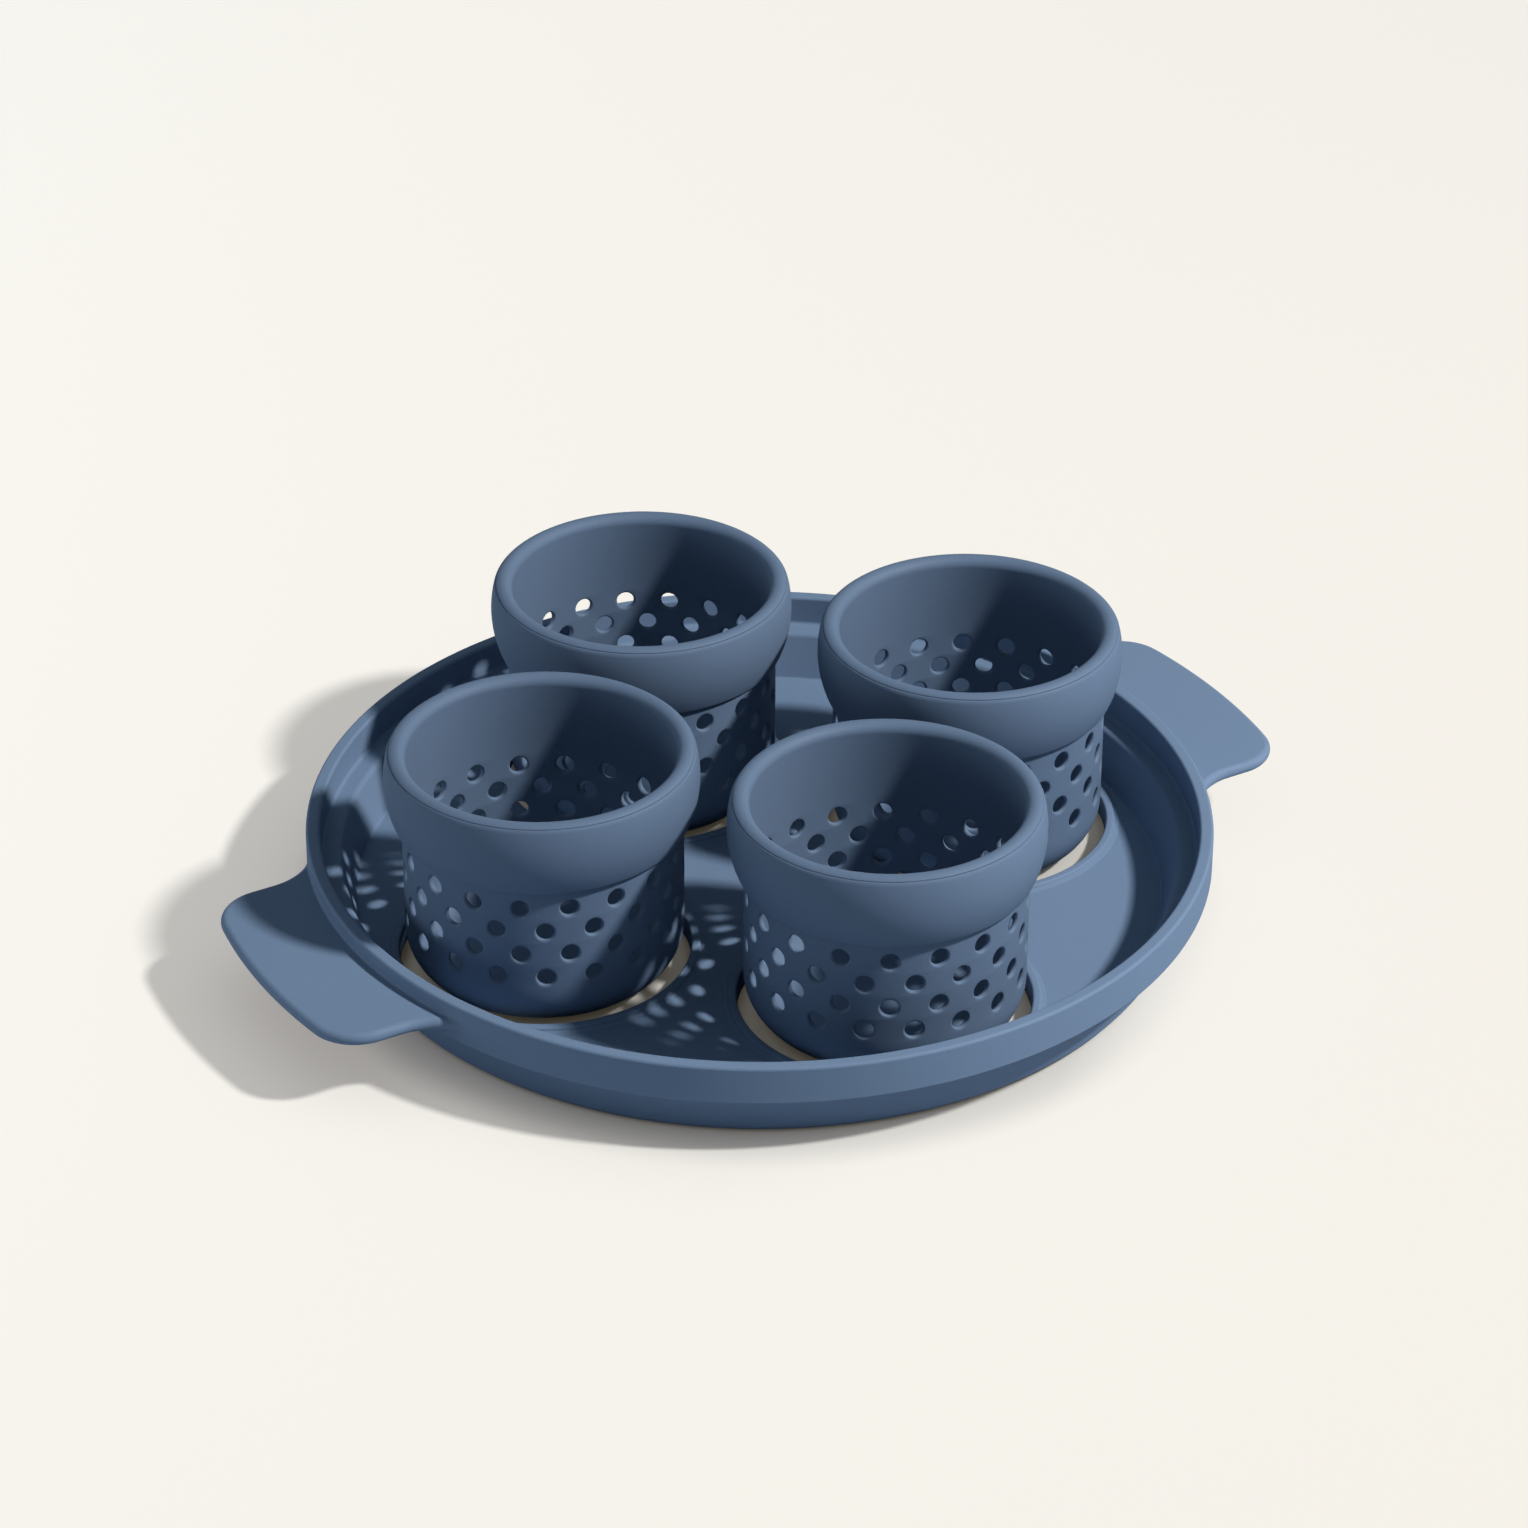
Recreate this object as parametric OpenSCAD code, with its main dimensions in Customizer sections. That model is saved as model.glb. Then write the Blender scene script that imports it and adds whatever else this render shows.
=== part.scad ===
// Egg poaching insert for a frying pan. A round tray with two wing handles carries four
// perforated cups, and each cup wears a soft grip band under its lip.
// The origin is on the tray's axis, at the level of the table that the tray stands on.
// +X points to the right handle, +Y to the back cup, and +Z up.

/* [Cups] */
// Outside diameter of a cup's perforated wall
cup_d = 82.6; // [74:0.2:92]
// Height of a cup, lip included
cup_h = 74.2; // [68:0.2:90]
// Thickness of a cup's wall and base
cup_wall = 1.8; // [1.4:0.1:2.6]
// Outside rounding between a cup's wall and its flat base
cup_round = 15.5; // [8:0.5:20]
// How far the lip's round stands out past the wall
lip_reach = 4; // [3:0.1:6]
// Height of the lip's own part of the round, above the grip band
lip_h = 1.1; // [0.8:0.1:2]

/* [Grip bands] */
// Height of a grip band, from the lip down
grip_h = 22.5; // [18:0.5:23]
// How far the band's belly stands out past the lip's round
grip_belly = 0.8; // [0.4:0.1:1.4]
// How far the band's foot stands out past the cup's wall
grip_foot = 1.6; // [1:0.1:2.5]
// Rounding along the foot's outer edge
grip_edge = 0.6; // [0.3:0.1:0.9]
// Depth of the groove round the cup that holds the band
grip_groove = 0.4; // [0.2:0.1:0.8]
// Radial clearance between the groove and the band
grip_fit = 0.05; // [0.02:0.01:0.15]

/* [Perforations] */
// Diameter of a hole in a cup's wall
hole_d = 5.4; // [3:0.1:6.5]
// Holes in one row round a cup
holes_per_row = 18; // [12:1:20]
// Rows of holes, every second one turned by half a step
hole_rows = 4; // [1:1:4]
// Distance from one row to the next
hole_pitch = 7.77; // [7:0.01:8]
// Distance from the band's foot down to the top row
hole_drop = 6.2; // [5:0.1:7]

/* [Seats] */
// Clear space between neighbouring grip bands
cup_gap = 11.3; // [4:0.1:20]
// Radial clearance between a band's foot and its seat in the tray
seat_clear = 0.3; // [0.1:0.05:0.8]
// Width of the collar round a seat
collar_w = 2.8; // [2:0.1:4]
// Height of the collar above the tray's floor
collar_h = 1.5; // [1:0.1:3]
// Rounding along the collar's two edges
collar_round = 0.8; // [0.3:0.1:0.9]
// Width of the shallow apron outside the collar
apron_w = 1.5; // [0.5:0.1:3]
// Height of the apron above the tray's floor
apron_h = 0.4; // [0.2:0.1:0.8]

/* [Tray] */
// Distance from the aprons to the foot of the drum's inner wall
seat_margin = 0.8; // [0.2:0.1:6]
// Thickness of the rim, and of the drum's wall at its foot
tray_wall = 4.2; // [3:0.1:5]
// Thickness of the drum's wall at the step
drum_wall = 3.2; // [2:0.1:5]
// How far the drum's wall leans out on its way up to the step
drum_lean = 4.3; // [1:0.1:6]
// Height of the upright land under the step, which centres the tray in a pan
land_h = 3; // [1:0.5:5]
// Thickness of the floor
floor_t = 5.3; // [3:0.1:7]
// Rounding along the drum's lower edge
drum_round = 4; // [1:0.5:5]
// Height of the step's underside, which rests on a pan's rim
step_z = 17.3; // [12:0.1:19]
// How far the rim stands out past the drum's foot
step_reach = 10.3; // [8:0.1:14]
// Thickness of the step
step_t = 2.4; // [2:0.1:4]
// Rounding along the rim's lower edge
step_round = 0.8; // [0.4:0.1:1]
// Rounding along the step's inner edge
ledge_round = 2; // [0.5:0.1:2.4]
// Rounding along the two edges of the rim's flat top
rim_round = 1; // [0.4:0.1:1.5]
// Fillets inside the tray
tray_fillet = 1.2; // [0.5:0.1:2]
// Height of the tray, up to the top of the rim
tray_h = 29.5; // [28:0.5:40]

/* [Handles] */
// How far a handle's tip stands out past the rim
handle_reach = 29.8; // [26:0.1:45]
// Width of a handle
handle_w = 86; // [64:1:104]
// Thickness of a handle
handle_t = 4; // [3:0.1:5]
// Distance from the top of the rim down to a handle's top face
handle_drop = 4.7; // [3:0.1:8]
// Radius of a handle's bowed outer edge
handle_bow = 186; // [150:1:400]
// Radius of a handle's outer corners
handle_corner = 15; // [5:0.5:16]
// Radius of the hollow where a handle's side runs into the rim
handle_blend = 18.5; // [3:0.5:20]

/* [Hidden] */

// Nylon of the tray and cups, and silicone of the grip bands
nylon = "#6a7f9e";
silicone = "#7186a6";

// How far a cut runs past what it cuts
overrun = 0.5;
// Smoothness of wide round shapes and of small ones
$fn = 144;
small_fn = 32;

// A cup, from its wall outwards
cup_r = cup_d / 2;
cup_bore_r = cup_r - cup_wall;
lip_r = (lip_reach + cup_wall) / 2;
lip_x = cup_bore_r + lip_r;
round_z = cup_h - lip_r;
lip_z = cup_h - lip_h;

// A grip band between the lip and the groove's lower shoulder
grip_z = lip_z - grip_h;
grip_seat_r = cup_r - grip_groove;
belly_r = lip_x + lip_r + grip_belly;
foot_r = cup_r + grip_foot;

// The belly's arc runs from the foot to where it meets the lip's round without a bend
belly_fall = belly_r - foot_r;
band_rise = round_z - grip_z;
square_part = 1 / grip_belly - 1 / belly_fall;
plain_part = 2 * band_rise / belly_fall;
rest_part = 2 * lip_r + grip_belly - belly_fall - band_rise * band_rise / belly_fall;
root_part = sqrt(plain_part * plain_part - 4 * square_part * rest_part);
belly_drop = (root_part - plain_part) / (2 * square_part);
belly_z = round_z - belly_drop;
belly_rise = belly_z - grip_z;
crown_r = (belly_rise * belly_rise + belly_fall * belly_fall) / (2 * belly_fall);
crown_x = belly_r - crown_r;
join_z = round_z + lip_r * belly_drop / (crown_r - lip_r);

// The holes in a cup's wall
hole_step = 360 / holes_per_row;
hole_top_z = grip_z - hole_drop;

// The seats in the tray's floor, on a square round the axis
cup_ring_r = (belly_r + cup_gap / 2) * sqrt(2);
seat_r = foot_r + seat_clear;
collar_r = seat_r + collar_w;
apron_r = collar_r + apron_w;

// The tray, from the seats outwards
drum_in_r = cup_ring_r + apron_r + seat_margin;
drum_r = drum_in_r + tray_wall;
rim_r = drum_r + step_reach;
rim_in_r = rim_r - tray_wall;
ledge_z = step_z + step_t;

// The drum's leaning wall, inside: its slope, and the roundings at its top and foot
lean_rise = ledge_z - floor_t;
lean_len = sqrt(lean_rise * lean_rise + drum_lean * drum_lean);
lean_out = [lean_rise / lean_len, -drum_lean / lean_len];
ledge_x = drum_in_r
    + (ledge_round * lean_len + (lean_rise - ledge_round) * drum_lean) / lean_rise;
ledge_mid = [ledge_x, ledge_z - ledge_round];
foot_x = drum_in_r + tray_fillet * (drum_lean - lean_len) / lean_rise;
foot_mid = [foot_x, floor_t + tray_fillet];

// The drum's leaning wall, outside: from the rounded lower edge to the land under the step
drum_mid = [drum_r - drum_round, drum_round];
drum_top = [drum_in_r + drum_lean + drum_wall, step_z - land_h];
drum_way = drum_top - drum_mid;
drum_turn = atan2(drum_way.y, drum_way.x) - acos(drum_round / norm(drum_way));
drum_edge = drum_mid + drum_round * [cos(drum_turn), sin(drum_turn)];

// A handle's outline, where its arcs and straight sides meet
handle_half = handle_w / 2;
handle_z = tray_h - handle_drop - handle_t;
tip_x = rim_r + handle_reach;
bow_x = tip_x - handle_bow;
corner_y = handle_half - handle_corner;
corner_x = bow_x + sqrt(pow(handle_bow - handle_corner, 2) - pow(corner_y, 2));
bow_end_y = corner_y * handle_bow / (handle_bow - handle_corner);
blend_y = handle_half + handle_blend;
blend_x = sqrt(pow(rim_r + handle_blend, 2) - pow(blend_y, 2));
blend_share = rim_r / (rim_r + handle_blend);

// Direction of each cup from the tray's axis, and the turn of its holes
right_way = 0;
back_way = 90;
left_way = 180;
front_way = 270;
right_turn = 1;
back_turn = 8.8;
left_turn = 12.8;
front_turn = 0.5;

// A square in a section, from one corner to the opposite one
module block(low, high) {
    translate(low) square(high - low);
}

// Section of the whole cup as a solid, drawn in from its outside by an inset
module bowl_section(inset, top) {
    r = cup_r - inset;
    round_r = cup_round - inset;
    block([0, inset], [r - round_r, top]);
    block([0, cup_round], [r, top]);
    intersection() {
        translate([r - round_r, cup_round]) circle(round_r);
        block([0, inset], [r, cup_round]);
    }
}

// The round along a cup's mouth: the lip is its top, and the band carries it on below
module lip_round() {
    translate([lip_x, round_z]) circle(lip_r);
}

module cup_section() {
    difference() {
        union() {
            bowl_section(0, round_z);
            intersection() {
                lip_round();
                block([cup_bore_r, round_z], [belly_r, cup_h]);
            }
        }
        block([grip_seat_r, grip_z], [belly_r, lip_z]);
        intersection() {
            bowl_section(cup_wall, round_z);
            block([0, 0], [cup_bore_r, round_z]);
        }
    }
}

// Cutters for the holes, long enough to pass through the wall where it rounds in below
module wall_holes() {
    for (row = [0 : hole_rows - 1], i = [0 : holes_per_row - 1])
        rotate([0, 0, (i + (row % 2) / 2) * hole_step])
            translate([cup_r - cup_round, 0, hole_top_z - row * hole_pitch])
                rotate([0, 90, 0])
                    cylinder(h = cup_round + overrun, d = hole_d, $fn = small_fn);
}

module cup(way, turn) {
    color(nylon)
        rotate([0, 0, way])
            translate([cup_ring_r, 0, 0])
                rotate([0, 0, turn - way])
                    difference() {
                        rotate_extrude() cup_section();
                        wall_holes();
                    }
}

// Section of a band: a bowed belly over a narrow flat foot, with the lip's round along its top
module grip_section() {
    inner_r = grip_seat_r + grip_fit;
    intersection() {
        block([inner_r, grip_z], [belly_r, lip_z]);
        translate([crown_x, belly_z]) circle(crown_r, $fn = 4 * $fn);
        union() {
            block([inner_r, grip_z], [belly_r, join_z]);
            lip_round();
        }
        union() {
            block([inner_r, grip_z], [foot_r - grip_edge, lip_z]);
            block([inner_r, grip_z + grip_edge], [belly_r, lip_z]);
            translate([foot_r - grip_edge, grip_z + grip_edge]) circle(grip_edge, $fn = small_fn);
        }
    }
}

module grip(way) {
    color(silicone)
        rotate([0, 0, way])
            translate([cup_ring_r, 0, 0])
                rotate_extrude() grip_section();
}

// Fillet where the drum's leaning wall meets the floor
module drum_foot() {
    difference() {
        polygon([
            [foot_mid.x, floor_t - overrun],
            [drum_in_r, floor_t - overrun],
            foot_mid + (tray_fillet + overrun) * lean_out,
            foot_mid
        ]);
        translate(foot_mid) circle(tray_fillet, $fn = small_fn);
    }
}

// Fillet where the rim meets the ledge
module ledge_foot() {
    corner = [rim_in_r - tray_fillet, ledge_z + tray_fillet];
    difference() {
        block([corner.x, ledge_z - overrun], [rim_in_r + overrun, corner.y]);
        translate(corner) circle(tray_fillet, $fn = small_fn);
    }
}

// Section of the tray without seats or handles
module tray_section() {
    // Floor, with the drum's rounded lower edge
    block([0, 0], [drum_mid.x, floor_t]);
    translate(drum_mid) circle(drum_round);
    // Leaning drum wall, rounded where it meets the ledge, with the land outside
    polygon([
        [drum_in_r, floor_t],
        ledge_mid - ledge_round * lean_out,
        ledge_mid,
        [drum_top.x, step_z],
        drum_top,
        drum_edge,
        drum_mid
    ]);
    translate(ledge_mid) circle(ledge_round, $fn = small_fn);
    drum_foot();
    // Step, with the rim's rounded lower edge
    block([ledge_mid.x, step_z], [rim_r - step_round, ledge_z]);
    translate([rim_r - step_round, step_z + step_round]) circle(step_round, $fn = small_fn);
    // Rim, with a flat top between two rounded edges
    block([rim_in_r, step_z + step_round], [rim_r, tray_h - rim_round]);
    block([rim_in_r + rim_round, step_z + step_round], [rim_r - rim_round, tray_h]);
    for (x = [rim_in_r + rim_round, rim_r - rim_round])
        translate([x, tray_h - rim_round]) circle(rim_round, $fn = small_fn);
    ledge_foot();
}

// Section of the collar and apron round a seat
module collar_section() {
    top = floor_t + collar_h;
    block([seat_r, 0], [apron_r, floor_t + apron_h]);
    block([seat_r, 0], [collar_r, top - collar_round]);
    block([seat_r + collar_round, 0], [collar_r - collar_round, top]);
    for (x = [seat_r + collar_round, collar_r - collar_round])
        translate([x, top - collar_round]) circle(collar_round, $fn = small_fn);
}

// Outline of the right-hand handle, up to the middle of the rim's wall
module handle_outline() {
    difference() {
        union() {
            intersection() {
                translate([bow_x, 0]) circle(handle_bow, $fn = 4 * $fn);
                block([0, -bow_end_y], [tip_x, bow_end_y]);
            }
            block([0, -handle_half], [corner_x, handle_half]);
            for (side = [-1, 1]) {
                translate([corner_x, side * corner_y]) circle(handle_corner);
                handle_web(side);
            }
        }
        circle(rim_r - tray_wall / 2);
    }
}

// The hollow corner that leads one side of a handle into the rim
module handle_web(side) {
    difference() {
        polygon([
            [0, 0],
            [blend_x, side * handle_half],
            [blend_x, side * blend_y],
            [blend_x * blend_share, side * blend_y * blend_share]
        ]);
        translate([blend_x, side * blend_y]) circle(handle_blend);
    }
}

module tray() {
    ways = [right_way, back_way, left_way, front_way];
    color(nylon) {
        difference() {
            union() {
                rotate_extrude() tray_section();
                for (way = ways)
                    rotate([0, 0, way])
                        translate([cup_ring_r, 0, 0])
                            rotate_extrude() collar_section();
            }
            for (way = ways)
                rotate([0, 0, way])
                    translate([cup_ring_r, 0, -overrun])
                        cylinder(h = floor_t + collar_h + 2 * overrun, r = seat_r);
        }
        for (side = [0, 180])
            rotate([0, 0, side])
                translate([0, 0, handle_z])
                    linear_extrude(handle_t) handle_outline();
    }
}

module cup_right() { cup(right_way, right_turn); }
module cup_back() { cup(back_way, back_turn); }
module cup_left() { cup(left_way, left_turn); }
module cup_front() { cup(front_way, front_turn); }
module grip_right() { grip(right_way); }
module grip_back() { grip(back_way); }
module grip_left() { grip(left_way); }
module grip_front() { grip(front_way); }

tray();
cup_right();
cup_back();
cup_left();
cup_front();
grip_right();
grip_back();
grip_left();
grip_front();
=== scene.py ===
import math

import bmesh
import bpy
from mathutils import Matrix, Vector
from mathutils.geometry import delaunay_2d_cdt


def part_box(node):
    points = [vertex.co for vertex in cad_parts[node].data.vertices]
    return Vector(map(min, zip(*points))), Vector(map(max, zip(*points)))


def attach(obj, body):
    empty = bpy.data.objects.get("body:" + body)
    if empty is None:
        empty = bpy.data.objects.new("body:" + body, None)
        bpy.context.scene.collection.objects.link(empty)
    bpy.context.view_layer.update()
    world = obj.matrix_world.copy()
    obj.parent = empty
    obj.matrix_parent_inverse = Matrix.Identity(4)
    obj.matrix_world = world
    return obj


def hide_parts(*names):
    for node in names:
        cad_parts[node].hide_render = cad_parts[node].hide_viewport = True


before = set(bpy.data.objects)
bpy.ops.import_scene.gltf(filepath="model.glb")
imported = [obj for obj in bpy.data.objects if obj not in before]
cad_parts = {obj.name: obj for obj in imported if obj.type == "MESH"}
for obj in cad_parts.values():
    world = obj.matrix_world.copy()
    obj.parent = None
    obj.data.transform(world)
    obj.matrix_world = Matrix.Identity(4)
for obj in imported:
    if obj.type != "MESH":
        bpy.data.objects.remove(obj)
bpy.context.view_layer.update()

# Metres in a millimetre. Sizes below are in millimetres, the same as the solids'.
MM = 0.001

# A cup: its wall, base rounding and lip, and the centre of the round along its mouth
CUP_H = 74.2
CUP_R = 41.3
CUP_WALL = 1.8
CUP_ROUND = 15.5
LIP_R = 2.9
LIP_H = 1.1
LIP_EDGE = 0.18
GROOVE_R = 40.9
LIP_X = CUP_R - CUP_WALL + LIP_R
ROUND_Z = CUP_H - LIP_R

# The holes in a cup's wall, in staggered rows
HOLE_R = 2.7
HOLE_EDGE = 0.7
HOLES_PER_ROW = 18
HOLE_ROWS = 4
HOLE_PITCH = 7.77
TOP_ROW_Z = 44.4
WALL_TOP = TOP_ROW_Z + HOLE_PITCH / 2
WALL_BOTTOM = WALL_TOP - HOLE_ROWS * HOLE_PITCH

# A grip band: its foot, its bowed belly, and its top, which carries the lip's round on below
GRIP_BOTTOM = 50.6
GRIP_TOP = CUP_H - LIP_H
GRIP_IN_R = 40.95
BELLY_R = 46.1
BELLY_Z = 64.532
BELLY_BOW = 31.928
GRIP_FOOT_EDGE = 0.6
GRIP_TOP_EDGE = 0.18

# The seats in the tray's floor, each with a collar and a shallow apron
SEAT_R = 43.2
SEAT_EDGE = 0.3
COLLAR_R = 46
COLLAR_TOP = 6.8
COLLAR_EDGE = 0.8
COLLAR_FOOT = 0.3
APRON_R = 47.5
APRON_TOP = 5.7
APRON_SLOPE = 0.8
# How much of its height the apron gains in the outer half of its slope
APRON_BOW = 0.7

# The tray: floor, leaning drum wall with a land under the step, and rim
FLOOR_TOP = 5.3
DRUM_IN_R = 121.486
DRUM_R = 125.686
DRUM_EDGE = 4
DRUM_LEAN = 4.3
LAND_R = 128.986
LAND_H = 3
LAND_EDGE = 0.4
LEDGE_Z = 19.7
LEDGE_EDGE = 2
STEP_Z = 17.3
STEP_EDGE = 0.8
STEP_FILLET = 0.5
FLOOR_FILLET = 0.95
RIM_IN_R = 131.786
RIM_R = 135.986
RIM_EDGE = 1
TRAY_H = 29.5
TRAY_FILLET = 1.2

# A handle: a flat plate with rounded edges that grows out of the rim
HANDLE_REACH = 29.8
HANDLE_W = 86
HANDLE_MID_Z = 22.8
HANDLE_HALF_T = 2
HANDLE_BOW = 186
HANDLE_CORNER = 15
HANDLE_BLEND = 18.5
HANDLE_FILLET = 0.9
HANDLE_SUNK = 0.5
HANDLE_ROOT = 2

# Each cup, and the turn of its holes in degrees
CUP_TURNS = {"right": 1, "back": 8.8, "left": 12.8, "front": 0.5}

# Segments round a cup, a seat and the tray, and in a quarter circle of a section
CUP_SEGMENTS = 6 * HOLES_PER_ROW
SEAT_SEGMENTS = 180
TRAY_SEGMENTS = 288
QUARTER = 6
# Columns round one hole of a cup's wall, and rings from the wall's outer face to its inner face
WALL_COLUMNS = 16
WALL_RINGS = 8
# Vertices nearer than this are one, in metres
MERGE = 0.004 * MM
# How near points are one when a flat outline is cut into faces, and how near counts as touching
CUT_NEAR = 1e-5
TOUCHING = 0.01

# The camera, where the photograph was taken from, in millimetres and degrees
CAMERA_AT = (-667.84, -1158.78, 856.18)
CAMERA_LOOK = (0.427804, 0.740743, -0.517965)
CAMERA_ROLL = 0.19
SENSOR = 36
LENS = 123.39

# The key light: its direction in degrees, distance and width in millimetres, power and colour
KEY_AZIMUTH = -46
KEY_ELEVATION = 47.3
KEY_DISTANCE = 1850
KEY_WIDTH = 150
KEY_POWER = 33.5
KEY_COLOR = (0.99, 0.995, 1.0)
# A dim strip of light low at the back left: direction, distance, width, height, power and colour
STRIP_AZIMUTH = 150
STRIP_ELEVATION = 9
STRIP_DISTANCE = 1000
STRIP_WIDTH = 1100
STRIP_HEIGHT = 240
STRIP_POWER = 1.8
STRIP_COLOR = (0.80, 0.90, 1.0)
# The sky that lights the object: its colours by the height of the direction, 1 overhead
SKY_LOW = (0.35, 0.415, 0.515, 1)
SKY_MIDDLE = (0.01, 0.01, 0.012, 1)
SKY_HIGH = (0.16, 0.20, 0.23, 1)
SKY_STOPS = [(0.18, SKY_LOW), (0.36, SKY_MIDDLE), (0.5, SKY_MIDDLE), (0.75, SKY_HIGH)]
# The background that the camera sees, 0 to 255 per channel
BACKDROP = (246, 243, 236)

# How far the floor reaches from the middle, in metres, and what it gives back to the object
FLOOR_REACH = 20
FLOOR_HIDDEN = (0.38, 0.43, 0.48, 1)
# For the camera: its colour in the key light's shadow, a painted glow in place of fill light, 0 to
# 255 per channel, what the light adds, and the power of the distance to the lamp that evens this
# out
FLOOR_SHADE = (174, 168, 161)
FLOOR_LIT = (0.583, 0.566, 0.520)
FLOOR_EVEN = 2.45
# How far the two measures of openness look, in metres, and the painted shade that each lays on the
# floor,
# from closed to open: darker near the object and in the slits
WIDE_LOOK = 0.12
NEAR_LOOK = 0.018
WIDE_PAINTED_SHADE = [(0.0, 0.68), (0.3, 0.76), (0.62, 0.89), (0.9, 1.0)]
NEAR_PAINTED_SHADE = [(0.0, (0.08, 0.07, 0.04, 1)), (0.2, (0.17, 0.155, 0.115, 1)),
              (0.42, (0.42, 0.41, 0.40, 1)), (1.0, (1, 1, 1, 1))]
# Where they fade out towards the lamp, and where the floor runs into the backdrop: the distance
# from the middle at which each starts, and the width of its fade, in metres
WIDE_FADE = (0.03, 0.06)
NEAR_FADE = (0.11, 0.03)
FAR_FADE = (1.0, 0.6)

# A moulding's surface: noise scales in a metre, the depth of its grain in metres, how much the
# clouds and specks change its roughness, and its specular level
CLOUD_SCALE = 18.0
SPECK_SCALE = 1400.0
GRAIN_SCALE = 2600.0
GRAIN_DEPTH = 0.00006
CLOUD_ROUGHNESS = 0.12
SPECK_ROUGHNESS = 0.08
SPECULAR = 0.22


class Socket:
    """An output of a node. Arithmetic on it adds Math nodes to its tree."""

    def __init__(self, tree, link=None):
        self.tree = tree
        self.link = link

    def node(self, kind, sockets=None, out=0, stops=None, **settings):
        """Add a node with its settings and its sockets' values or links, and give one output."""
        node = self.tree.nodes.new(kind)
        for name, value in settings.items():
            setattr(node, name, value)
        if stops:
            self.set_stops(node.color_ramp.elements, stops)
        for name, value in (sockets or {}).items():
            if isinstance(value, Socket):
                self.tree.links.new(value.link, node.inputs[name])
            else:
                node.inputs[name].default_value = value
        return Socket(self.tree, node.outputs[out]) if node.outputs else None

    @staticmethod
    def set_stops(elements, stops):
        while len(elements) < len(stops):
            elements.new(1)
        for element, (place, color) in zip(elements, stops):
            element.position = place
            element.color = color

    def other(self, out):
        """Another output of the same node."""
        return Socket(self.tree, self.link.node.outputs[out])

    def math(self, operation, *values):
        return self.node("ShaderNodeMath", dict(enumerate(values)), operation=operation)

    def __add__(self, value):
        return self.math("ADD", self, value)

    def __radd__(self, value):
        return self.math("ADD", value, self)

    def __sub__(self, value):
        return self.math("SUBTRACT", self, value)

    def __rsub__(self, value):
        return self.math("SUBTRACT", value, self)

    def __mul__(self, value):
        return self.math("MULTIPLY", self, value)

    def __rmul__(self, value):
        return self.math("MULTIPLY", value, self)

    def __truediv__(self, value):
        return self.math("DIVIDE", self, value)

    def __rtruediv__(self, value):
        return self.math("DIVIDE", value, self)


def srgb(red, green, blue):
    """A colour given as 0 to 255 per channel, as the linear values that a socket takes."""
    shares = (red / 255, green / 255, blue / 255)
    return tuple(s / 12.92 if s <= 0.04045 else ((s + 0.055) / 1.055) ** 2.4 for s in shares) + (1,)


def fade(value, start, width):
    """A socket's value as 0 up to a start and 1 from a width further on."""
    return value.math("MINIMUM", value.math("MAXIMUM", (value - start) / width, 0), 1)


# Sections and meshes

def arc(centre, radius, start, end, steps=QUARTER):
    """Points on an arc of a section or an outline, between two angles in degrees."""
    turns = [math.radians(start + (end - start) * i / steps) for i in range(steps + 1)]
    return [(centre[0] + radius * math.cos(t), centre[1] + radius * math.sin(t)) for t in turns]


def spin(mesh, section, segments, centre=(0, 0)):
    """Turn a section of (radius, height) points in millimetres round an upright axis."""
    rings = []
    for radius, height in section:
        if radius == 0:
            rings.append([mesh.verts.new((centre[0] * MM, centre[1] * MM, height * MM))])
            continue
        ring = []
        for i in range(segments):
            turn = 2 * math.pi * i / segments
            x = centre[0] + radius * math.cos(turn)
            y = centre[1] + radius * math.sin(turn)
            ring.append(mesh.verts.new((x * MM, y * MM, height * MM)))
        rings.append(ring)
    for low, high in zip(rings, rings[1:]):
        for i in range(segments):
            j = (i + 1) % segments
            corners = [low[i % len(low)], low[j % len(low)]]
            corners += [high[j % len(high)], high[i % len(high)]]
            mesh.faces.new(list(dict.fromkeys(corners)))


def circle(centre, radius, segments):
    """Points round a circle, starting where spin starts."""
    turns = [2 * math.pi * i / segments for i in range(segments)]
    return [(centre[0] + radius * math.cos(t), centre[1] + radius * math.sin(t)) for t in turns]


def plane_with_holes(mesh, outline, holes, height, inside_hole):
    """A flat face at a height, between an outline and the outlines of its holes."""
    points, edges = [], []
    for loop in [outline] + holes:
        first = len(points)
        points += [Vector(p) for p in loop]
        edges += [(first + i, first + (i + 1) % len(loop)) for i in range(len(loop))]
    flat, _, faces, *_ = delaunay_2d_cdt(points, edges, [], 1, CUT_NEAR)
    verts = [mesh.verts.new((p.x * MM, p.y * MM, height * MM)) for p in flat]
    for face in faces:
        middle = sum((flat[i] for i in face), Vector((0, 0))) / len(face)
        if not inside_hole(middle):
            mesh.faces.new([verts[i] for i in face])


def close(mesh):
    """Join what meets, drop loose vertices and turn all faces outwards."""
    bmesh.ops.remove_doubles(mesh, verts=mesh.verts, dist=MERGE)
    loose = [v for v in mesh.verts if not v.link_faces]
    bmesh.ops.delete(mesh, geom=loose, context="VERTS")
    bmesh.ops.recalc_face_normals(mesh, faces=mesh.faces)


def close_piece(piece):
    """Close the mesh of a piece, after other steps have changed it."""
    mesh = bmesh.new()
    mesh.from_mesh(piece.data)
    close(mesh)
    mesh.to_mesh(piece.data)
    mesh.free()


def foot(node):
    """Where a node of the frame stands: the middle of its box, at the box's foot, in metres."""
    low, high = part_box(node)
    middle = (low + high) / 2
    middle.z = low.z
    return middle


def new_object(name, mesh):
    """An object for a bmesh, which is freed."""
    data = bpy.data.meshes.new(name)
    mesh.to_mesh(data)
    mesh.free()
    piece = bpy.data.objects.new(name, data)
    bpy.context.scene.collection.objects.link(piece)
    return piece


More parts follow.
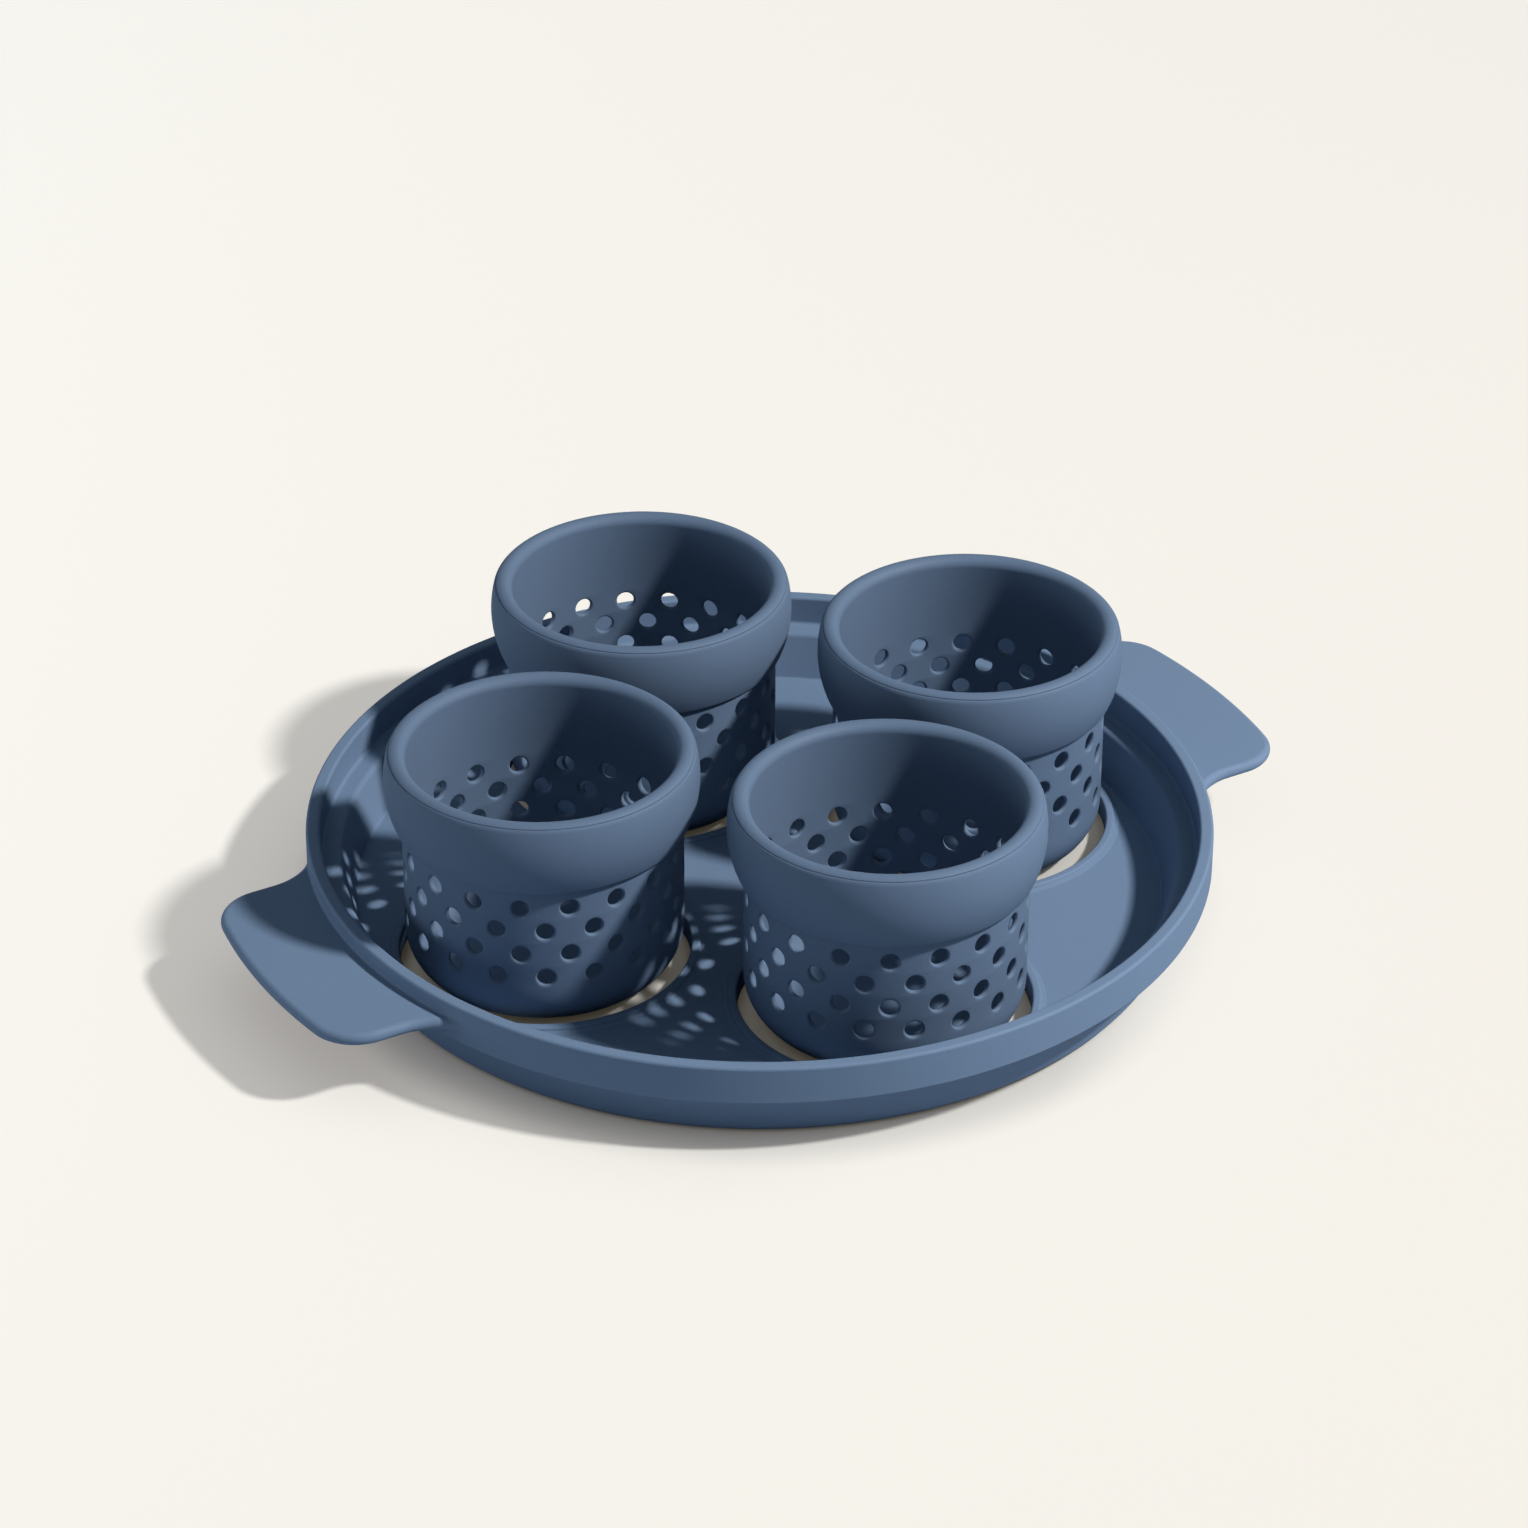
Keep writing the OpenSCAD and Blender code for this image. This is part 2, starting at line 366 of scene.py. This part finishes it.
def apply_modifiers(piece):
    """Replace a piece's mesh by what its modifiers make of it."""
    bpy.context.view_layer.update()
    evaluated = piece.evaluated_get(bpy.context.evaluated_depsgraph_get())
    data = bpy.data.meshes.new_from_object(evaluated)
    piece.modifiers.clear()
    piece.data = data
    data.name = piece.name


def soften(piece):
    """Shade smoothly, with normals that lean to the larger faces so that flats stay flat."""
    piece.data.shade_smooth()
    weigh = piece.modifiers.new("Weighted normals", "WEIGHTED_NORMAL")
    weigh.mode = "FACE_AREA"
    weigh.weight = 80
    weigh.keep_sharp = False
    apply_modifiers(piece)


# The cups

def perforated_wall():
    """Geometry nodes that fill the open stretch of a cup's wall with rows of holes.

    One patch of wall round one hole is a grid of columns round the hole and rings from the patch's
    outer edge, over the rounded edge, through the hole and back to the patch's inner edge. Until it
    is wrapped round the axis, X is an angle, Y a depth below the outer face and Z a height.
    """
    tree = bpy.data.node_groups.new("Perforated wall", "GeometryNodeTree")
    tree.interface.new_socket("Geometry", in_out="INPUT", socket_type="NodeSocketGeometry")
    floats = ["Wall radius", "Wall thickness", "Hole radius", "Edge rounding", "Row pitch",
              "Top row height"]
    for name in floats:
        tree.interface.new_socket(name, in_out="INPUT", socket_type="NodeSocketFloat")
    for name in ("Holes per row", "Rows"):
        tree.interface.new_socket(name, in_out="INPUT", socket_type="NodeSocketInt")
    tree.interface.new_socket("Material", in_out="INPUT", socket_type="NodeSocketMaterial")
    tree.interface.new_socket("Geometry", in_out="OUTPUT", socket_type="NodeSocketGeometry")
    tree.is_modifier = True

    given = Socket(tree).node("NodeGroupInput")
    wall_r, wall_t, hole_r, edge, pitch, top_z = (given.other(name) for name in floats)
    per_row, rows = given.other("Holes per row"), given.other("Rows")

    # The patch: its column and ring, and how far it is from the nearer of its two outer edges
    patch = given.node("GeometryNodeMeshGrid", {
        "Size X": 1, "Size Y": 1, "Vertices X": WALL_COLUMNS + 1, "Vertices Y": WALL_RINGS})
    spot = given.node("ShaderNodeSeparateXYZ", {0: given.node("GeometryNodeInputPosition")})
    column = given.math("ROUND", (spot.other("X") + 0.5) * WALL_COLUMNS)
    ring = given.math("ROUND", (spot.other("Y") + 0.5) * (WALL_RINGS - 1))
    side = given.math("MINIMUM", column, WALL_COLUMNS - column)
    upper = given.math("SIGN", WALL_COLUMNS / 2 - column)
    near = given.math("MINIMUM", ring, (WALL_RINGS - 1) - ring)
    on_border = given.math("LESS_THAN", near, 0.5)
    inner_face = given.math("GREATER_THAN", ring, (WALL_RINGS - 1) / 2)

    # Round the hole
    fillet = given.math("MAXIMUM", near - 1, 0) * (math.pi / 4)
    reach = hole_r + edge * (1 - given.math("SINE", fillet))
    sunk = edge * (1 - given.math("COSINE", fillet))
    depth = sunk + inner_face * (wall_t - 2 * sunk)
    turn = column * (2 * math.pi / WALL_COLUMNS)
    hole_x = reach * given.math("COSINE", turn) / (wall_r - depth)
    hole_z = reach * given.math("SINE", turn)

    # Along the patch's border, which has two edges up each side and six along the top and bottom
    half_angle = math.pi / per_row
    border_x = half_angle - (side - 1) * (half_angle / 3)
    border_x = given.math("MAXIMUM", given.math("MINIMUM", border_x, half_angle), 0 - half_angle)
    rise = given.math("MINIMUM", given.math("MINIMUM", side, WALL_COLUMNS / 2 - side), 1)
    border_z = upper * rise * (pitch / 2)
    x = hole_x + on_border * (border_x - hole_x)
    z = hole_z + on_border * (border_z - hole_z)
    shaped = given.node("GeometryNodeSetPosition", {
        "Geometry": patch, "Position": given.node("ShaderNodeCombineXYZ", {0: x, 1: depth, 2: z})})

    # One patch a hole, every second row half a step on
    index = given.node("GeometryNodeInputIndex")
    row = given.math("FLOOR", index / per_row)
    place = index - row * per_row + given.math("MODULO", row, 2) / 2
    spots = given.node("GeometryNodePoints", {
        "Count": per_row * rows,
        "Position": given.node("ShaderNodeCombineXYZ", {
            0: place * (2 * half_angle), 1: 0.0, 2: top_z - row * pitch})})
    patches = given.node("GeometryNodeInstanceOnPoints", {"Points": spots, "Instance": shaped})
    patches = given.node("GeometryNodeRealizeInstances", {"Geometry": patches})

    # Wrapped round the axis
    flat = given.node("ShaderNodeSeparateXYZ", {0: given.node("GeometryNodeInputPosition")})
    radius = wall_r - flat.other("Y")
    wrapped = given.node("GeometryNodeSetPosition", {
        "Geometry": patches,
        "Position": given.node("ShaderNodeCombineXYZ", {
            0: radius * given.math("COSINE", flat.other("X")),
            1: radius * given.math("SINE", flat.other("X")),
            2: flat.other("Z")})})

    joined = given.node("GeometryNodeJoinGeometry")
    for part in (wrapped, given.other("Geometry")):
        tree.links.new(part.link, joined.link.node.inputs[0])
    merged = given.node("GeometryNodeMergeByDistance", {"Geometry": joined, "Distance": MERGE})
    real = given.node("GeometryNodeRealizeInstances", {"Geometry": merged})
    done = given.node("GeometryNodeSetMaterial", {
        "Geometry": real, "Material": given.other("Material")})
    given.node("NodeGroupOutput", {"Geometry": done})
    return tree


def top_edge(side, rounding):
    """Where the round along the mouth meets the parting between lip and band, above it or below.

    Gives the centre of the small rounding there, and the angle at which it meets the round.
    """
    height = GRIP_TOP + side * rounding - ROUND_Z
    across = math.sqrt((LIP_R - rounding) ** 2 - height ** 2)
    return (LIP_X + across, ROUND_Z + height), math.degrees(math.atan2(height, across))


def cup_sections():
    """A cup's plain stretches: its lower outside, its upper wall with the lip, its lower inside."""
    bend = CUP_R - CUP_ROUND
    bore = CUP_R - CUP_WALL
    below = [(0, 0), (bend / 2, 0)] + arc((bend, CUP_ROUND), CUP_ROUND, -90, 0, 2 * QUARTER)
    below += [(CUP_R, WALL_BOTTOM)]
    above = [(CUP_R, WALL_TOP), (CUP_R, GRIP_BOTTOM - LIP_EDGE),
             (GROOVE_R, GRIP_BOTTOM - LIP_EDGE), (GROOVE_R, GRIP_TOP)]
    edge, turn = top_edge(1, LIP_EDGE)
    above += arc(edge, LIP_EDGE, -90, turn, 3)
    above += arc((LIP_X, ROUND_Z), LIP_R, turn, 180, 4 * QUARTER)[1:]
    above += [(bore, GRIP_BOTTOM), (bore, WALL_TOP)]
    within = [(bore, WALL_BOTTOM)]
    within += arc((bend, CUP_ROUND), CUP_ROUND - CUP_WALL, 0, -90, 2 * QUARTER)
    within += [(bend / 2, CUP_WALL), (0, CUP_WALL)]
    return below, above, within


def make_cup(name, way, wall, material):
    """One cup: plain stretches turned round the axis, with the perforated wall between them."""
    mesh = bmesh.new()
    for section in cup_sections():
        spin(mesh, section, CUP_SEGMENTS)
    cup = new_object(name, mesh)
    cup.data.materials.append(material)
    holes = cup.modifiers.new("Holes", "NODES")
    holes.node_group = wall
    values = {
        "Wall radius": CUP_R * MM, "Wall thickness": CUP_WALL * MM, "Hole radius": HOLE_R * MM,
        "Edge rounding": HOLE_EDGE * MM, "Row pitch": HOLE_PITCH * MM,
        "Top row height": TOP_ROW_Z * MM, "Holes per row": HOLES_PER_ROW, "Rows": HOLE_ROWS,
        "Material": material}
    for item in wall.interface.items_tree:
        if item.in_out == "INPUT" and item.name in values:
            holes[item.identifier] = values[item.name]
    apply_modifiers(cup)
    close_piece(cup)
    turn = Matrix.Rotation(math.radians(CUP_TURNS[way]), 4, "Z")
    cup.data.transform(Matrix.Translation(foot(f"cup_{way}")) @ turn)
    soften(cup)
    return cup


# The grip bands

def grip_section():
    """A band's closed section: a flat foot, a bowed belly, and the lip's round above it."""
    bow_x = BELLY_R - BELLY_BOW
    foot_z = GRIP_BOTTOM + GRIP_FOOT_EDGE
    drop = foot_z - BELLY_Z
    across = math.sqrt((BELLY_BOW - GRIP_FOOT_EDGE) ** 2 - drop ** 2)
    foot_turn = math.degrees(math.atan2(drop, across))
    join_turn = math.degrees(math.atan2(ROUND_Z - BELLY_Z, LIP_X - bow_x))
    edge, edge_turn = top_edge(-1, GRIP_TOP_EDGE)
    section = [(GRIP_IN_R, GRIP_BOTTOM)]
    section += arc((bow_x + across, foot_z), GRIP_FOOT_EDGE, -90, foot_turn, 4)
    section += arc((bow_x, BELLY_Z), BELLY_BOW, foot_turn, join_turn, 5 * QUARTER)[1:]
    section += arc((LIP_X, ROUND_Z), LIP_R, join_turn, edge_turn, QUARTER)[1:]
    section += arc(edge, GRIP_TOP_EDGE, edge_turn, 90, 3)[1:]
    section += [(GRIP_IN_R, GRIP_TOP), (GRIP_IN_R, GRIP_BOTTOM)]
    return section


def make_grip(name, way, material):
    """One grip band, turned round the axis of its cup."""
    place = foot(f"grip_{way}")
    mesh = bmesh.new()
    spin(mesh, grip_section(), SEAT_SEGMENTS, (place.x / MM, place.y / MM))
    close(mesh)
    grip = new_object(name, mesh)
    grip.data.materials.append(material)
    soften(grip)
    return grip


# The tray

def tray_section():
    """The tray's section from the floor's top, over the rim, to the underside."""
    rise = LEDGE_Z - FLOOR_TOP
    lean = math.degrees(math.atan2(DRUM_LEAN, rise))
    length = math.hypot(rise, DRUM_LEAN)
    foot_x = DRUM_IN_R + FLOOR_FILLET * (DRUM_LEAN - length) / rise
    ledge_x = DRUM_IN_R + (LEDGE_EDGE * length + (rise - LEDGE_EDGE) * DRUM_LEAN) / rise
    section = arc((foot_x, FLOOR_TOP + FLOOR_FILLET), FLOOR_FILLET, -90, -lean, 4)
    section += arc((ledge_x, LEDGE_Z - LEDGE_EDGE), LEDGE_EDGE, 180 - lean, 90, QUARTER)
    section += arc((RIM_IN_R - TRAY_FILLET, LEDGE_Z + TRAY_FILLET), TRAY_FILLET, -90, 0, 4)
    section += arc((RIM_IN_R + RIM_EDGE, TRAY_H - RIM_EDGE), RIM_EDGE, 180, 90, QUARTER)
    section += arc((RIM_R - RIM_EDGE, TRAY_H - RIM_EDGE), RIM_EDGE, 90, 0, QUARTER)
    section += arc((RIM_R - STEP_EDGE, STEP_Z + STEP_EDGE), STEP_EDGE, 0, -90, 4)
    section += arc((LAND_R + STEP_FILLET, STEP_Z - STEP_FILLET), STEP_FILLET, 90, 180, 3)
    # Below the land, the wall leans in to the rounded lower edge
    low_x = DRUM_R - DRUM_EDGE
    way_x, way_z = LAND_R - low_x, STEP_Z - LAND_H - DRUM_EDGE
    turn = math.degrees(math.atan2(way_z, way_x) - math.acos(DRUM_EDGE / math.hypot(way_x, way_z)))
    section += [(LAND_R, STEP_Z - LAND_H + LAND_EDGE), (LAND_R, STEP_Z - LAND_H)]
    section += arc((low_x, DRUM_EDGE), DRUM_EDGE, turn, -90, QUARTER)
    return section


def seat_section():
    """A seat's section from the floor's top, over apron and collar, down to the underside."""
    section = [(APRON_R, FLOOR_TOP),
               (APRON_R - APRON_SLOPE / 2, FLOOR_TOP + (APRON_TOP - FLOOR_TOP) * APRON_BOW),
               (APRON_R - APRON_SLOPE, APRON_TOP)]
    section += arc((COLLAR_R + COLLAR_FOOT, APRON_TOP + COLLAR_FOOT), COLLAR_FOOT, -90, -180, 2)
    section += arc((COLLAR_R - COLLAR_EDGE, COLLAR_TOP - COLLAR_EDGE), COLLAR_EDGE, 0, 90, 4)
    section += arc((SEAT_R + COLLAR_EDGE, COLLAR_TOP - COLLAR_EDGE), COLLAR_EDGE, 90, 180, 4)
    section += arc((SEAT_R + SEAT_EDGE, SEAT_EDGE), SEAT_EDGE, 180, 270, 2)
    return section


def handle_outline(inset, steps):
    """The right handle's outline, drawn in by an inset, from root to tip to root."""
    half = HANDLE_W / 2
    touch_r = RIM_R - HANDLE_SUNK
    tip_x = RIM_R + HANDLE_REACH
    bow_x = tip_x - HANDLE_BOW
    corner_y = half - HANDLE_CORNER
    corner_x = bow_x + math.sqrt((HANDLE_BOW - HANDLE_CORNER) ** 2 - corner_y ** 2)
    blend_y = half + HANDLE_BLEND
    blend_x = math.sqrt((touch_r + HANDLE_BLEND) ** 2 - blend_y ** 2)
    root_turn = math.degrees(math.atan2(blend_y, blend_x))
    bow_turn = math.degrees(math.asin(corner_y / (HANDLE_BOW - HANDLE_CORNER)))
    upper = arc((bow_x, 0), HANDLE_BOW - inset, 0, bow_turn, 2 * steps)
    upper += arc((corner_x, corner_y), HANDLE_CORNER - inset, bow_turn, 90, steps)[1:]
    upper += arc((blend_x, blend_y), HANDLE_BLEND + inset, 270, 180 + root_turn, steps)
    lower = [(x, -y) for x, y in reversed(upper[1:])]
    return lower + upper


def handle_plate(mesh, side):
    """A handle as a closed plate: flat faces, half-round edges and fillets along the rim."""
    steps = 2 * QUARTER
    rounds = [90 * i / QUARTER for i in range(QUARTER + 1)]
    insets = [HANDLE_HALF_T * (1 - math.cos(math.radians(t))) for t in rounds]
    flares = [HANDLE_FILLET * (1 - math.cos(math.radians(t))) for t in rounds]
    points, edges = [], []

    def lay(line):
        first = len(points)
        points.extend(Vector(p) for p in line)
        edges.extend((first + i, first + i + 1) for i in range(len(line) - 1))

    outer = handle_outline(0, steps)
    root_turn = math.degrees(math.atan2(outer[-1][1], outer[-1][0]))
    root = arc((0, 0), RIM_R - HANDLE_ROOT, root_turn, -root_turn, 6 * steps)
    lay(outer + root + outer[:1])
    for inset in insets[1:]:
        lay(handle_outline(inset, steps))
    for flare in flares:
        lay(arc((0, 0), RIM_R + flare, root_turn, -root_turn, 6 * steps))
    flat, _, faces, *_ = delaunay_2d_cdt(points, edges, [], 1, CUT_NEAR)

    border = [Vector(p) for p in outer]

    def edge_distance(point):
        best = math.inf
        for a, b in zip(border, border[1:]):
            along = b - a
            share = max(0, min(1, (point - a).dot(along) / along.length_squared))
            best = min(best, (point - a - along * share).length)
        return best

    def half_thickness(point):
        inset = min(edge_distance(point), HANDLE_HALF_T)
        height = math.sqrt(max(HANDLE_HALF_T ** 2 - (HANDLE_HALF_T - inset) ** 2, 0))
        away = min(max(point.length - RIM_R, 0), HANDLE_FILLET)
        flare = HANDLE_FILLET - math.sqrt(HANDLE_FILLET ** 2 - (HANDLE_FILLET - away) ** 2)
        return height * (1 + flare / HANDLE_HALF_T)

    heights = [half_thickness(p) for p in flat]
    for up in (1, -1):
        verts = [mesh.verts.new((side * p.x * MM, side * p.y * MM, (HANDLE_MID_Z + up * h) * MM))
                 for p, h in zip(flat, heights)]
        for face in faces:
            mesh.faces.new([verts[i] for i in face])
        if up == 1:
            top_verts = verts
    # The root's end, inside the rim
    ends = [i for i, p in enumerate(flat) if p.length < RIM_R - HANDLE_ROOT + TOUCHING]
    ends.sort(key=lambda i: flat[i].y)
    for a, b in zip(ends, ends[1:]):
        mesh.faces.new([top_verts[a], top_verts[b], verts[b], verts[a]])


def make_tray(name, material):
    """The tray: turned walls, a floor with four seats, and two handles joined to the rim."""
    mesh = bmesh.new()
    section = tray_section()
    floor_r = section[0][0]
    spin(mesh, section, TRAY_SEGMENTS)
    centres = []
    for way in CUP_TURNS:
        place = foot(f"cup_{way}")
        centres.append((place.x / MM, place.y / MM))
        spin(mesh, seat_section(), SEAT_SEGMENTS, centres[-1])

    def in_a_seat(point):
        return any((point - Vector(c)).length < SEAT_R for c in centres)

    for height, outer_r, hole_r in ((FLOOR_TOP, floor_r, APRON_R),
                                    (0, DRUM_R - DRUM_EDGE, SEAT_R + SEAT_EDGE)):
        outline = circle((0, 0), outer_r, TRAY_SEGMENTS)
        holes = [circle(c, hole_r, SEAT_SEGMENTS) for c in centres]
        plane_with_holes(mesh, outline, holes, height, in_a_seat)
    close(mesh)
    tray = new_object(name, mesh)
    tray.data.materials.append(material)
    for side in (1, -1):
        mesh = bmesh.new()
        handle_plate(mesh, side)
        close(mesh)
        plate = new_object("handle", mesh)
        join = tray.modifiers.new("Join", "BOOLEAN")
        join.operation = "UNION"
        join.solver = "EXACT"
        join.object = plate
        apply_modifiers(tray)
        bpy.data.objects.remove(plate)
    close_piece(tray)
    soften(tray)
    return tray


# Materials

def moulded(name, color, roughness, grain, speckle):
    """A fine matte moulding: faint clouds in colour, a fine speckle, and a spark-eroded grain."""
    material = bpy.data.materials.new(name)
    material.use_nodes = True
    tree = material.node_tree
    tree.nodes.clear()
    start = Socket(tree).node("ShaderNodeTexCoord", out="Object")

    def noise(scale, detail, rough=0.5):
        return start.node("ShaderNodeTexNoise", {
            "Vector": start, "Scale": scale, "Detail": detail, "Roughness": rough}, out=0)

    clouds = noise(CLOUD_SCALE, 3.0)
    specks = noise(SPECK_SCALE, 1.0)
    erosion = noise(GRAIN_SCALE, 2.0, 0.6)
    light = tuple(min(1, c * (1 + speckle)) for c in color[:3]) + (1,)
    dark = tuple(c * (1 - speckle) for c in color[:3]) + (1,)
    tone = clouds * 0.5 + specks * 0.5
    shade = start.node("ShaderNodeValToRGB", {"Fac": tone}, stops=[(0.35, dark), (0.65, light)])
    bump = start.node("ShaderNodeBump", {
        "Strength": grain, "Distance": GRAIN_DEPTH, "Height": erosion + 0.4 * specks})
    shader = start.node("ShaderNodeBsdfPrincipled", {
        "Base Color": shade,
        "Roughness": (roughness + (clouds - 0.5) * CLOUD_ROUGHNESS
                      + (specks - 0.5) * SPECK_ROUGHNESS),
        "Normal": bump,
        "Specular IOR Level": SPECULAR,
        "IOR": 1.5})
    start.node("ShaderNodeOutputMaterial", {"Surface": shader})
    return material


# The stage

def make_floor():
    """A pale floor. The camera sees one colour on it, the key light's shadow, and painted shade
    near the object and in the slits.
    """
    material = bpy.data.materials.new("Pale floor")
    material.use_nodes = True
    tree = material.node_tree
    tree.nodes.clear()
    seen = Socket(tree).node("ShaderNodeLightPath", out="Is Camera Ray")
    spot = seen.node("ShaderNodeTexCoord", out="Object")

    def measure(operation, *values):
        return seen.node("ShaderNodeVectorMath", dict(enumerate(values)), out="Value",
                         operation=operation)

    def openness(look, ahead, start_and_width, tints):
        """Painted shade for how open the floor is, darker where it is closed in, which fades out
        towards the lamp's side.
        """
        share = seen.node("ShaderNodeAmbientOcclusion", {"Distance": look}, out="AO", samples=8)
        share = share + (1 - share) * fade(ahead, *start_and_width)
        return seen.node("ShaderNodeValToRGB", {"Fac": share}, stops=tints)

    def multiply(one, other):
        return seen.node("ShaderNodeMix", {0: 1.0, 6: one, 7: other}, out=2,
                         data_type="RGBA", blend_type="MULTIPLY")

    # What the key light adds, evened out for how its strength drops with distance
    lamp = lamp_place(KEY_AZIMUTH, KEY_ELEVATION, KEY_DISTANCE)
    share = measure("DISTANCE", spot, tuple(lamp)) * (1 / lamp.length)
    even = seen.math("POWER", share, FLOOR_EVEN)
    lit_color = seen.node("ShaderNodeVectorMath", {0: FLOOR_LIT, "Scale": even}, operation="SCALE")
    lit = seen.node("ShaderNodeBsdfDiffuse", {"Color": lit_color})
    # What shows without it: a painted glow in place of fill light, with painted shade near the
    # object and in the slits
    ahead = measure("DOT_PRODUCT", spot, (lamp.x, lamp.y, 0)) * (1 / math.hypot(lamp.x, lamp.y))
    wide_painted_shade = openness(WIDE_LOOK, ahead, WIDE_FADE, [(at, (v, v, v, 1)) for at, v in WIDE_PAINTED_SHADE])
    near_painted_shade = openness(NEAR_LOOK, ahead, NEAR_FADE, NEAR_PAINTED_SHADE)
    shade = multiply(multiply(wide_painted_shade, near_painted_shade), srgb(*FLOOR_SHADE))
    painted_glow = seen.node("ShaderNodeEmission", {"Color": shade, "Strength": 1.0})
    near = seen.node("ShaderNodeAddShader", {0: painted_glow, 1: lit})
    # Far away it runs into the backdrop
    backdrop = seen.node("ShaderNodeEmission", {"Color": srgb(*BACKDROP), "Strength": 1.0})
    away = fade(measure("LENGTH", spot), *FAR_FADE)
    shown = seen.node("ShaderNodeMixShader", {0: away, 1: near, 2: backdrop})
    hidden = seen.node("ShaderNodeBsdfDiffuse", {"Color": FLOOR_HIDDEN})
    both = seen.node("ShaderNodeMixShader", {0: seen, 1: hidden, 2: shown})
    seen.node("ShaderNodeOutputMaterial", {"Surface": both})
    mesh = bmesh.new()
    bmesh.ops.create_grid(mesh, x_segments=1, y_segments=1, size=FLOOR_REACH)
    floor = new_object("floor", mesh)
    floor.data.materials.append(material)


def make_world():
    """The sky that lights the object, and the pale background that the camera sees."""
    world = bpy.data.worlds.new("Studio")
    bpy.context.scene.world = world
    world.use_nodes = True
    tree = world.node_tree
    tree.nodes.clear()
    seen = Socket(tree).node("ShaderNodeLightPath", out="Is Camera Ray")
    way = seen.node("ShaderNodeTexCoord", out="Generated")
    height = seen.node("ShaderNodeSeparateXYZ", {0: way}, out="Z")
    tone = seen.node("ShaderNodeValToRGB", {"Fac": height}, stops=SKY_STOPS)
    sky = seen.node("ShaderNodeBackground", {"Color": tone, "Strength": 1.0})
    pale = seen.node("ShaderNodeBackground", {"Color": srgb(*BACKDROP), "Strength": 1.0})
    both = seen.node("ShaderNodeMixShader", {0: seen, 1: sky, 2: pale})
    seen.node("ShaderNodeOutputWorld", {"Surface": both})


def lamp_place(azimuth, elevation, distance):
    """Where a lamp stands, in metres, for its direction from the object and its distance."""
    turn, rise = math.radians(azimuth), math.radians(elevation)
    return distance * MM * Vector((
        math.cos(rise) * math.cos(turn), math.cos(rise) * math.sin(turn), math.sin(rise)))


def make_lamp(name, place, power, color):
    """An area light that faces the object. Its shape is set by the caller."""
    light = bpy.data.lights.new(name, "AREA")
    light.energy = power
    light.color = color
    lamp = bpy.data.objects.new(name, light)
    lamp.location = place
    lamp.rotation_euler = place.to_track_quat("Z", "Y").to_euler()
    bpy.context.scene.collection.objects.link(lamp)
    return light


def make_lights():
    """A key light from the front right, and a dim strip from the back left."""
    key = make_lamp("key", lamp_place(KEY_AZIMUTH, KEY_ELEVATION, KEY_DISTANCE),
                    KEY_POWER, KEY_COLOR)
    key.shape = "DISK"
    key.size = KEY_WIDTH * MM
    strip = make_lamp("strip", lamp_place(STRIP_AZIMUTH, STRIP_ELEVATION, STRIP_DISTANCE),
                      STRIP_POWER, STRIP_COLOR)
    strip.shape = "RECTANGLE"
    strip.size = STRIP_WIDTH * MM
    strip.size_y = STRIP_HEIGHT * MM


def make_camera():
    """The camera, placed and turned as the one that took the photograph."""
    data = bpy.data.cameras.new("camera")
    data.sensor_width = SENSOR
    data.sensor_fit = "HORIZONTAL"
    data.lens = LENS
    data.clip_end = 100
    camera = bpy.data.objects.new("camera", data)
    look = Vector(CAMERA_LOOK).to_track_quat("-Z", "Y").to_matrix().to_4x4()
    roll = Matrix.Rotation(math.radians(CAMERA_ROLL), 4, "Z")
    camera.matrix_world = Matrix.Translation(Vector(CAMERA_AT) * MM) @ look @ roll
    bpy.context.scene.collection.objects.link(camera)
    bpy.context.scene.camera = camera


make_camera()
make_lights()
make_world()
make_floor()

# The tray is coloured lighter than the cups and grip bands. This is painted light on its open floor
# and handles, and painted shade that keeps the cups' insides dark.
tray_nylon_painted_light = moulded("Tray nylon", srgb(116, 137, 163), roughness=0.6, grain=0.12, speckle=0.03)
cup_nylon_painted_shade = moulded("Cup nylon", srgb(102, 121, 145), roughness=0.6, grain=0.12, speckle=0.03)
grip_silicone_painted_shade = moulded("Grip silicone", srgb(103, 122, 146), roughness=0.66, grain=0.08,
                        speckle=0.025)

tray = make_tray("tray_moulding", tray_nylon_painted_light)
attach(tray, "tray")
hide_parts("tray")

wall = perforated_wall()
for way in CUP_TURNS:
    cup = make_cup(f"{way}_cup_moulding", way, wall, cup_nylon_painted_shade)
    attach(cup, f"{way}_cup")
    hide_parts(f"cup_{way}")
    grip = make_grip(f"{way}_grip_band", way, grip_silicone_painted_shade)
    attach(grip, f"{way}_cup")
    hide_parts(f"grip_{way}")

bpy.context.scene.view_settings.view_transform = "Standard"
